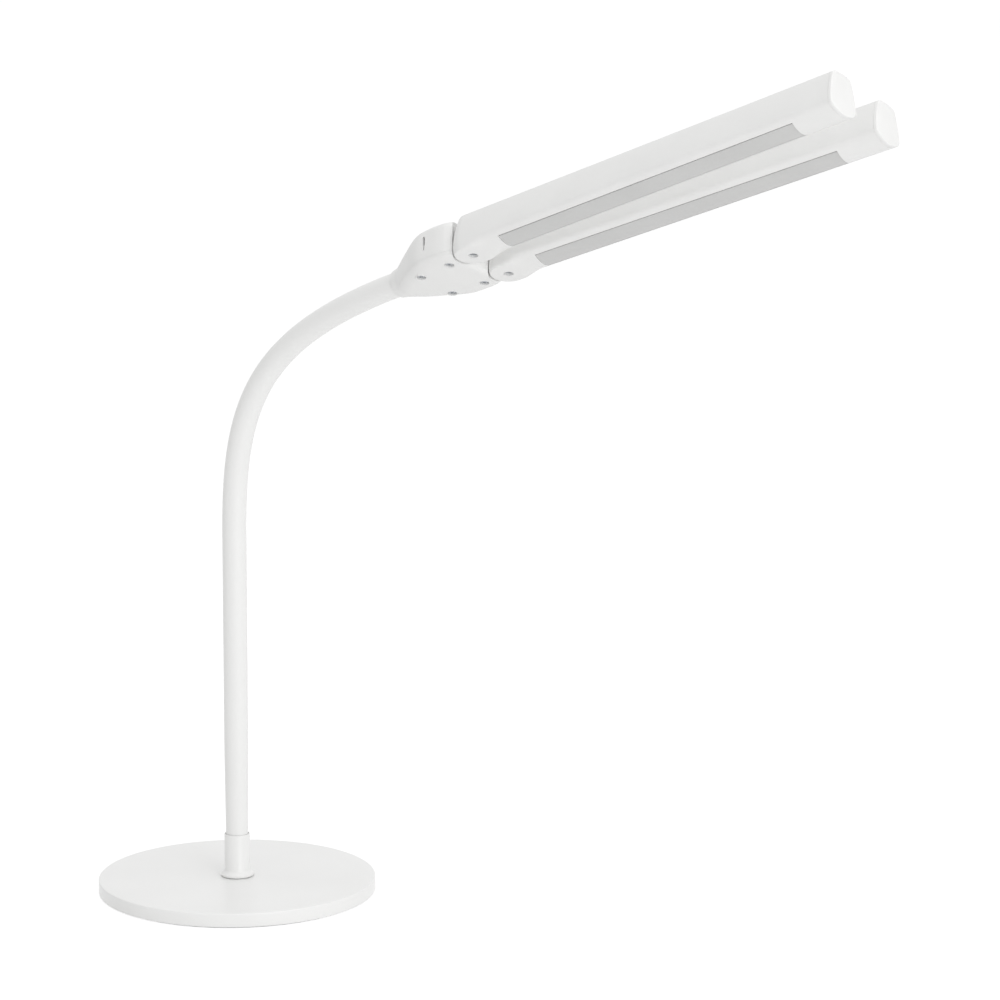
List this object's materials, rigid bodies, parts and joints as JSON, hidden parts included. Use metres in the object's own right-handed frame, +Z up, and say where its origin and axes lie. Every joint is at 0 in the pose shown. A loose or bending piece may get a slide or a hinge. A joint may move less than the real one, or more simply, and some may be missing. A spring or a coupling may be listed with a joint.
{
  "type": "led table lamp",
  "caption": "White LED table lamp: round weighted base, gooseneck, and a fan-shaped hub that carries swinging light bars.",
  "frame": {"origin": "centre of the base's underside, where the rubber pad meets the table", "axes": "+Z up; the neck bends in the XZ plane towards +X; +Y is the left side for someone behind the lamp looking along +X"},
  "size_m": [0.6131, 0.2, 0.5991],
  "materials": {
    "white_paint": "smooth powder coat with a soft gloss",
    "white_plastic": "moulded white ABS with a fine satin surface",
    "white_sleeve": "smooth soft white tubing over the gooseneck",
    "frosted_acrylic": "frosted light diffuser, unlit",
    "plain_steel": "zinc-plated steel",
    "grey_iron": "as-cast grey iron",
    "rubber_pad": "dark rubber",
    "led_board": "white solder mask on an aluminium strip",
    "driver_board": "green glass-epoxy board",
    "dark_plastic": "dark moulded plastic"
  },
  "bodies": {
    "base": {"base_cover": "white_paint", "base_weight": "grey_iron", "base_pad": "rubber_pad", "cord_gland": "white_plastic", "collar": "white_paint", "stem_ferrule": "plain_steel", "stem_washer": "plain_steel", "stem_nut": "plain_steel", "neck_sleeve_foot": "white_sleeve", "neck_core_foot": "plain_steel", "neck_sleeve_lower_bend": "white_sleeve", "neck_core_lower_bend": "plain_steel"},
    "neck_middle": {"neck_sleeve_middle": "white_sleeve", "neck_core_middle": "plain_steel", "neck_sleeve_upper_bend": "white_sleeve", "neck_core_upper_bend": "plain_steel"},
    "neck_top": {"neck_sleeve_top": "white_sleeve", "neck_core_top": "plain_steel", "neck_end_ferrule": "plain_steel", "neck_lock_nut": "plain_steel"},
    "hub": {"hub_housing": "white_plastic", "hub_cover": "white_plastic", "hub_screw_front_right": "plain_steel", "hub_screw_front_left": "plain_steel", "hub_screw_rear_right": "plain_steel", "hub_screw_rear_left": "plain_steel", "pivot_bracket": "plain_steel", "driver_board": "driver_board", "switch_body": "dark_plastic"},
    "switch_slider": {"switch_slider": "white_plastic"},
    "right_bar": {"right_bar_housing": "white_plastic", "right_bar_end_cap": "white_plastic", "right_bar_diffuser": "frosted_acrylic", "right_bar_led_board": "led_board", "right_pivot_screw": "plain_steel", "right_pivot_washer": "plain_steel", "right_pivot_nut": "plain_steel"},
    "left_bar": {"left_bar_housing": "white_plastic", "left_bar_end_cap": "white_plastic", "left_bar_diffuser": "frosted_acrylic", "left_bar_led_board": "led_board", "left_pivot_screw": "plain_steel", "left_pivot_washer": "plain_steel", "left_pivot_nut": "plain_steel"}
  },
  "joints": [
    {"name": "neck_lower_bend", "type": "hinge", "parent": "base", "child": "neck_middle", "pos_m": [0, 0, 0.165], "axis": [0, 1, 0], "range_deg": [-25, 25], "deforming": ["neck_sleeve_lower_bend", "neck_core_lower_bend"]},
    {"name": "neck_upper_bend", "type": "hinge", "parent": "neck_middle", "child": "neck_top", "pos_m": [0.03391, 0, 0.3823], "axis": [0, 1, 0], "range_deg": [-40, 35], "deforming": ["neck_sleeve_upper_bend", "neck_core_upper_bend"]},
    {"name": "head_turn", "type": "hinge", "parent": "neck_top", "child": "hub", "pos_m": [0.1468, 0, 0.448], "axis": [0.9415, 0, 0.3371], "range_deg": [-35, 85]},
    {"name": "right_bar_swing", "type": "hinge", "parent": "hub", "child": "right_bar", "pos_m": [0.22586, -0.01974, 0.47637], "axis": [0.307, -0.4131, -0.8574], "range_deg": [0, 25]},
    {"name": "left_bar_swing", "type": "hinge", "parent": "hub", "child": "left_bar", "pos_m": [0.23088, 0.01305, 0.46237], "axis": [-0.307, 0.4131, 0.8574], "range_deg": [-2.4, 22.6]},
    {"name": "switch_slide", "type": "slide", "parent": "hub", "child": "switch_slider", "axis": [-0.307, 0.4131, 0.8574], "range_m": [0, 0.0054]}
  ]
}
